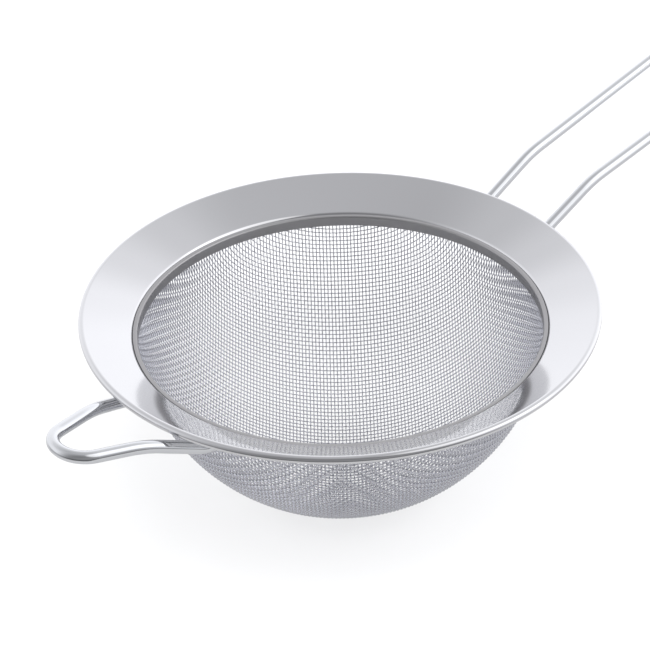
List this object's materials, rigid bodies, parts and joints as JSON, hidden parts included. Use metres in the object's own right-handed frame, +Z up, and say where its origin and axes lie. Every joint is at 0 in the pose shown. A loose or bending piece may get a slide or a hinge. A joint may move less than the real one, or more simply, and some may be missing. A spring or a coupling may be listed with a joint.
{
  "type": "tea strainer",
  "caption": "Round tea strainer: a bowl of woven steel wire cloth in a wide polished sloping rim, with a long U-shaped wire handle and a short wire ear that rests on a cup.",
  "frame": {"origin": "on the bowl's axis at the top edge of the retaining band, which is the mouth of the bowl", "axes": "+Z up out of the bowl's mouth along its axis, +X out along the handle, the ear points along -X; the strainer is symmetric about the XZ plane"},
  "size_m": [0.2377, 0.1, 0.0643],
  "materials": {
    "polished_sheet": "mirror-polished stainless steel sheet",
    "band_sheet": "satin stainless steel strip",
    "wire_cloth": "plain woven stainless steel wire cloth",
    "round_wire": "polished round stainless steel wire",
    "weld": "as-welded stainless steel, slightly tinted"
  },
  "bodies": {
    "root": {"rim_flange": "polished_sheet", "retaining_band": "band_sheet", "mesh_bowl": "wire_cloth", "handle_wire": "round_wire", "rest_ear_wire": "round_wire", "handle_weld_left": "weld", "handle_weld_right": "weld", "ear_weld_left": "weld", "ear_weld_right": "weld"}
  },
  "joints": []
}
